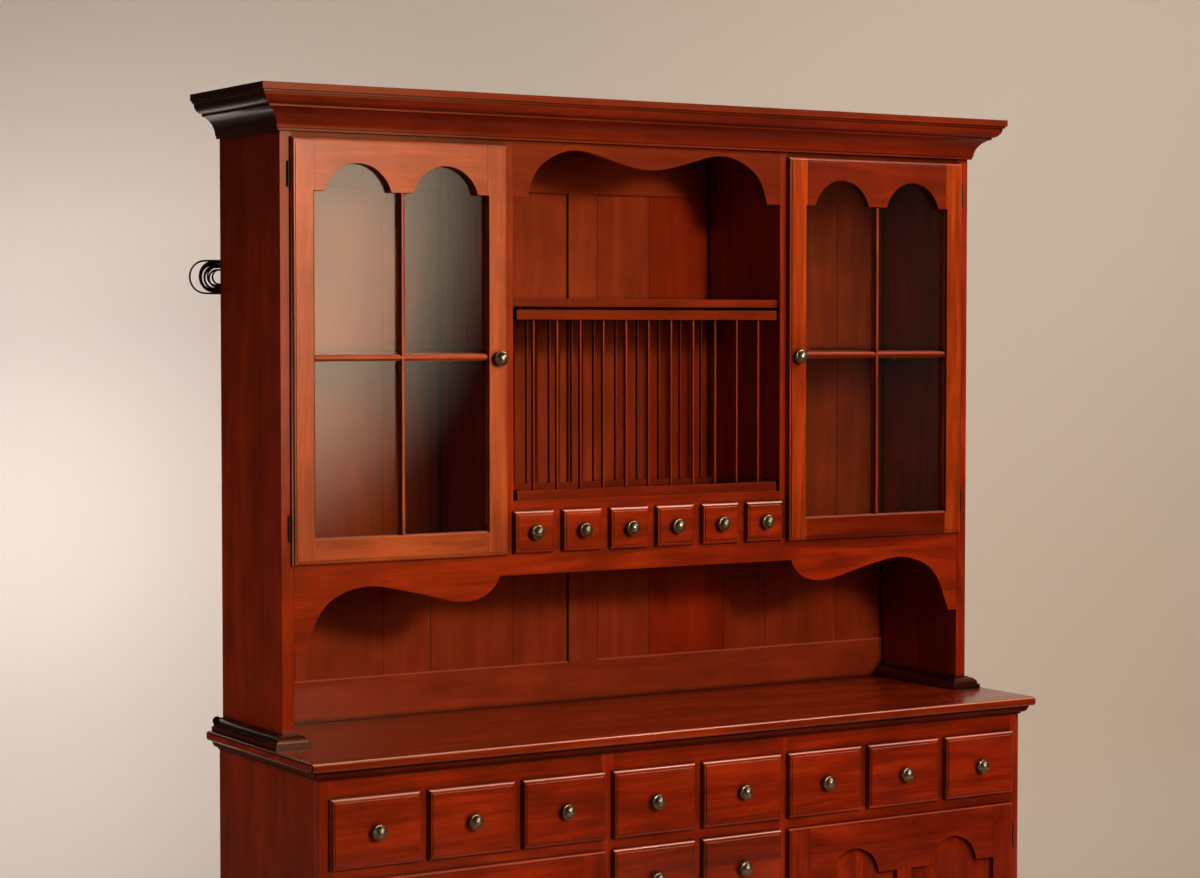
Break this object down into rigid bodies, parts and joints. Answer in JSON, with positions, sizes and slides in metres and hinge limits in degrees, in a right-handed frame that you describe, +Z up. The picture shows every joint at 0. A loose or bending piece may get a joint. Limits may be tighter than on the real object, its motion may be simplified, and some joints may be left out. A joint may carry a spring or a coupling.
{
  "type": "china cabinet",
  "caption": "Wooden china cabinet: hutch with glazed arched doors, plate rack, spice drawers and scalloped apron over a counter, on a base of drawers and panelled cupboards.",
  "frame": {"origin": "on the floor, under the middle of the cabinet's box (the cord left out)", "axes": "+Z up, -Y out of the front where doors and drawers open, +X to the right seen from the front"},
  "size_m": [1.9131, 0.5399, 2.182],
  "materials": {
    "case_wood": "semi-gloss lacquer over red-brown stain",
    "front_wood": "semi-gloss lacquer over red-brown stain",
    "counter_wood": "semi-gloss lacquer over red-brown stain",
    "back_wood": "semi-gloss lacquer over red-brown stain",
    "inner_wood": "thin satin lacquer",
    "pane_glass": "clear, polished",
    "knob_bronze": "antiqued, satin",
    "hinge_bronze": "dark bronzed",
    "plated_steel": "zinc plated",
    "lamp_plastic": "satin",
    "cord_plastic": "satin"
  },
  "bodies": {
    "cabinet": {"hutch_sides": "case_wood", "hutch_top_and_floor": "case_wood", "hutch_partitions": "case_wood", "hutch_front_rails": "case_wood", "scalloped_apron": "case_wood", "cornice_moulding": "case_wood", "hutch_back": "back_wood", "display_shelf": "case_wood", "spice_drawer_case": "case_wood", "plate_rack_bars": "case_wood", "plate_rack_spindles": "case_wood", "foot_mouldings": "case_wood", "countertop": "counter_wood", "counter_moulding": "counter_wood", "base_sides": "case_wood", "base_face_frame": "case_wood", "base_floor": "inner_wood", "base_back": "inner_wood", "base_dividers": "inner_wood", "bracket_plinth": "case_wood", "cupboard_shelves": "case_wood", "shelf_pins": "plated_steel", "hinge_leaves_and_pins": "hinge_bronze", "cupboard_lamps": "lamp_plastic", "cord_glands": "cord_plastic", "lamp_lead": "cord_plastic", "cord_coil": "cord_plastic", "coil_tie": "cord_plastic", "plug": "cord_plastic", "rear_fittings": "plated_steel"},
    "glazed_door_left": {"glazed_door_left_frame": "front_wood", "glazed_door_left_glass": "pane_glass", "glazed_door_left_hardware": "knob_bronze"},
    "glazed_door_right": {"glazed_door_right_frame": "front_wood", "glazed_door_right_glass": "pane_glass", "glazed_door_right_hardware": "knob_bronze"},
    "panel_door_left": {"panel_door_left_frame": "front_wood", "panel_door_left_panels": "front_wood", "panel_door_left_hardware": "knob_bronze"},
    "panel_door_right": {"panel_door_right_frame": "front_wood", "panel_door_right_panels": "front_wood", "panel_door_right_hardware": "knob_bronze"},
    "spice_drawer_1": {"spice_drawer_1": "front_wood"},
    "spice_drawer_2": {"spice_drawer_2": "front_wood"},
    "spice_drawer_3": {"spice_drawer_3": "front_wood"},
    "spice_drawer_4": {"spice_drawer_4": "front_wood"},
    "spice_drawer_5": {"spice_drawer_5": "front_wood"},
    "spice_drawer_6": {"spice_drawer_6": "front_wood"},
    "top_drawer_1": {"top_drawer_1": "front_wood"},
    "top_drawer_2": {"top_drawer_2": "front_wood"},
    "top_drawer_3": {"top_drawer_3": "front_wood"},
    "top_drawer_4": {"top_drawer_4": "front_wood"},
    "top_drawer_5": {"top_drawer_5": "front_wood"},
    "top_drawer_6": {"top_drawer_6": "front_wood"},
    "top_drawer_7": {"top_drawer_7": "front_wood"},
    "top_drawer_8": {"top_drawer_8": "front_wood"},
    "second_drawer_left": {"second_drawer_left": "front_wood"},
    "second_drawer_right": {"second_drawer_right": "front_wood"},
    "third_drawer": {"third_drawer": "front_wood"},
    "fourth_drawer": {"fourth_drawer": "front_wood"}
  },
  "joints": [
    {"name": "glazed_door_left_hinge", "type": "hinge", "parent": "cabinet", "child": "glazed_door_left", "pos_m": [-0.8711, -0.0485, 1.6445], "axis": [0, 0, -1], "range_deg": [0, 110]},
    {"name": "glazed_door_right_hinge", "type": "hinge", "parent": "cabinet", "child": "glazed_door_right", "pos_m": [0.8711, -0.0485, 1.6445], "axis": [0, 0, 1], "range_deg": [0, 110]},
    {"name": "panel_door_left_hinge", "type": "hinge", "parent": "cabinet", "child": "panel_door_left", "pos_m": [-0.8786, -0.2345, 0.354], "axis": [0, 0, -1], "range_deg": [0, 110]},
    {"name": "panel_door_right_hinge", "type": "hinge", "parent": "cabinet", "child": "panel_door_right", "pos_m": [0.8786, -0.2345, 0.354], "axis": [0, 0, 1], "range_deg": [0, 110]},
    {"name": "spice_drawer_1_slide", "type": "slide", "parent": "cabinet", "child": "spice_drawer_1", "axis": [0, -1, 0], "range_m": [0, 0.18]},
    {"name": "spice_drawer_2_slide", "type": "slide", "parent": "cabinet", "child": "spice_drawer_2", "axis": [0, -1, 0], "range_m": [0, 0.18]},
    {"name": "spice_drawer_3_slide", "type": "slide", "parent": "cabinet", "child": "spice_drawer_3", "axis": [0, -1, 0], "range_m": [0, 0.18]},
    {"name": "spice_drawer_4_slide", "type": "slide", "parent": "cabinet", "child": "spice_drawer_4", "axis": [0, -1, 0], "range_m": [0, 0.18]},
    {"name": "spice_drawer_5_slide", "type": "slide", "parent": "cabinet", "child": "spice_drawer_5", "axis": [0, -1, 0], "range_m": [0, 0.18]},
    {"name": "spice_drawer_6_slide", "type": "slide", "parent": "cabinet", "child": "spice_drawer_6", "axis": [0, -1, 0], "range_m": [0, 0.18]},
    {"name": "top_drawer_1_slide", "type": "slide", "parent": "cabinet", "child": "top_drawer_1", "axis": [0, -1, 0], "range_m": [0, 0.32]},
    {"name": "top_drawer_2_slide", "type": "slide", "parent": "cabinet", "child": "top_drawer_2", "axis": [0, -1, 0], "range_m": [0, 0.32]},
    {"name": "top_drawer_3_slide", "type": "slide", "parent": "cabinet", "child": "top_drawer_3", "axis": [0, -1, 0], "range_m": [0, 0.32]},
    {"name": "top_drawer_4_slide", "type": "slide", "parent": "cabinet", "child": "top_drawer_4", "axis": [0, -1, 0], "range_m": [0, 0.32]},
    {"name": "top_drawer_5_slide", "type": "slide", "parent": "cabinet", "child": "top_drawer_5", "axis": [0, -1, 0], "range_m": [0, 0.32]},
    {"name": "top_drawer_6_slide", "type": "slide", "parent": "cabinet", "child": "top_drawer_6", "axis": [0, -1, 0], "range_m": [0, 0.32]},
    {"name": "top_drawer_7_slide", "type": "slide", "parent": "cabinet", "child": "top_drawer_7", "axis": [0, -1, 0], "range_m": [0, 0.32]},
    {"name": "top_drawer_8_slide", "type": "slide", "parent": "cabinet", "child": "top_drawer_8", "axis": [0, -1, 0], "range_m": [0, 0.32]},
    {"name": "second_drawer_left_slide", "type": "slide", "parent": "cabinet", "child": "second_drawer_left", "axis": [0, -1, 0], "range_m": [0, 0.32]},
    {"name": "second_drawer_right_slide", "type": "slide", "parent": "cabinet", "child": "second_drawer_right", "axis": [0, -1, 0], "range_m": [0, 0.32]},
    {"name": "third_drawer_slide", "type": "slide", "parent": "cabinet", "child": "third_drawer", "axis": [0, -1, 0], "range_m": [0, 0.32]},
    {"name": "fourth_drawer_slide", "type": "slide", "parent": "cabinet", "child": "fourth_drawer", "axis": [0, -1, 0], "range_m": [0, 0.32]}
  ]
}
